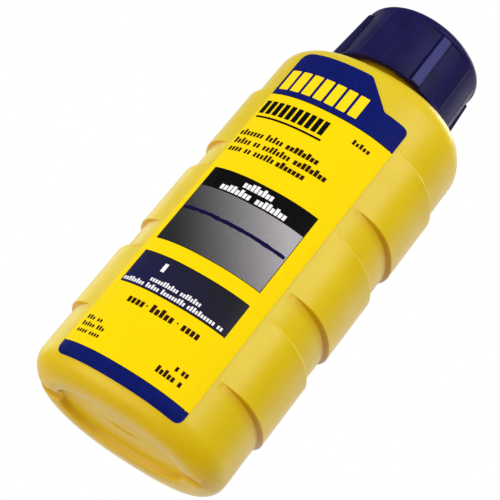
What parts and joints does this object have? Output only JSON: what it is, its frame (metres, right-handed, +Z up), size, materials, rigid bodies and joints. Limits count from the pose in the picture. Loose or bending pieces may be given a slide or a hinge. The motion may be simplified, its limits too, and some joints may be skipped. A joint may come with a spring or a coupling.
{
  "type": "marking chalk refill bottle",
  "caption": "Oval squeeze bottle of marking chalk powder with side grip pads, printed labels and a ribbed screw cap, for refilling a chalk line reel.",
  "frame": {"origin": "middle of the base, on the plane the bottle stands on", "axes": "+Z up along the bottle to the cap, -Y out of the front label, +X to the right of that label as it is read"},
  "size_m": [0.0552, 0.044, 0.1308],
  "materials": {
    "bottle_plastic": "satin",
    "cap_plastic": "satin",
    "liner_foam": "matte",
    "chalk_powder": "matte",
    "label_film": "gloss"
  },
  "bodies": {
    "container": {"bottle": "bottle_plastic", "chalk_fill": "chalk_powder", "front_label": "label_film", "back_label": "label_film"},
    "liner": {"cap_liner": "liner_foam"},
    "cap": {"cap": "cap_plastic"}
  },
  "joints": [
    {"name": "cap_rise", "type": "slide", "parent": "container", "child": "liner", "axis": [0, 0, 1], "range_m": [0, 0.0175]},
    {"name": "cap_turn", "type": "hinge", "parent": "liner", "child": "cap", "pos_m": [0, 0, 0.111], "axis": [0, 0, 1], "range_deg": [0, 1960]}
  ],
  "couplings": [
    {"joint": "cap_rise", "follows": "cap_turn", "m_per_rad": 0.0005093}
  ]
}
